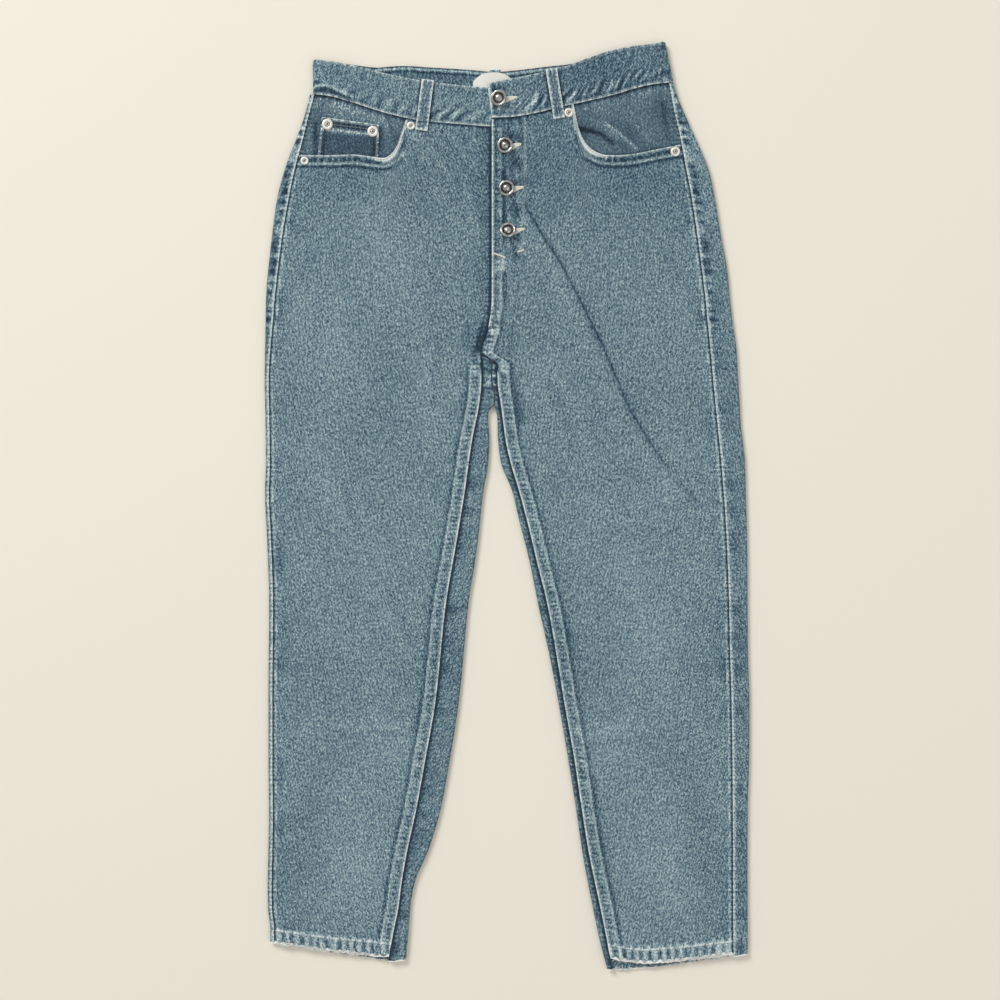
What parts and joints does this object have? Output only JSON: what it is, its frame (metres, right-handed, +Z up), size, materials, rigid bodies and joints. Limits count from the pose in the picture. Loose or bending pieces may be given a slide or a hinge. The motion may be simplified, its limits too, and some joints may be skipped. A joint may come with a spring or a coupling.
{
  "type": "mom jeans",
  "caption": "High-waisted denim trousers with tapered legs and an exposed button fly, lying flat with the front up.",
  "frame": {"origin": "centre of the bounding box, on the surface that the jeans lie on", "axes": "+Y towards the waist, +Z up out of the front, +X towards the wearer's left leg"},
  "size_m": [0.51, 0.9752, 0.0159],
  "materials": {
    "denim": "washed mid-blue denim twill",
    "denim_dark": "darker, less worn denim twill",
    "label": "white woven label, blank",
    "steel": "dark antique silver",
    "nickel": "bright nickel"
  },
  "bodies": {
    "root": {"waistband": "denim", "front_right": "denim", "front_left": "denim", "back_right": "denim", "back_left": "denim", "yoke_right": "denim", "yoke_left": "denim", "back_pocket_right": "denim", "back_pocket_left": "denim", "pocket_facing_right": "denim_dark", "pocket_facing_left": "denim_dark", "coin_pocket": "denim_dark", "fly_underlap": "denim", "label": "label", "loop_front_right": "denim", "loop_front_left": "denim", "loop_back_right": "denim", "loop_back_left": "denim", "loop_centre_back": "denim", "button_1": "steel", "button_2": "steel", "button_3": "steel", "button_4": "steel", "rivet_1": "nickel", "rivet_2": "nickel", "rivet_3": "nickel", "rivet_4": "nickel", "rivet_5": "nickel", "rivet_6": "nickel"}
  },
  "joints": []
}
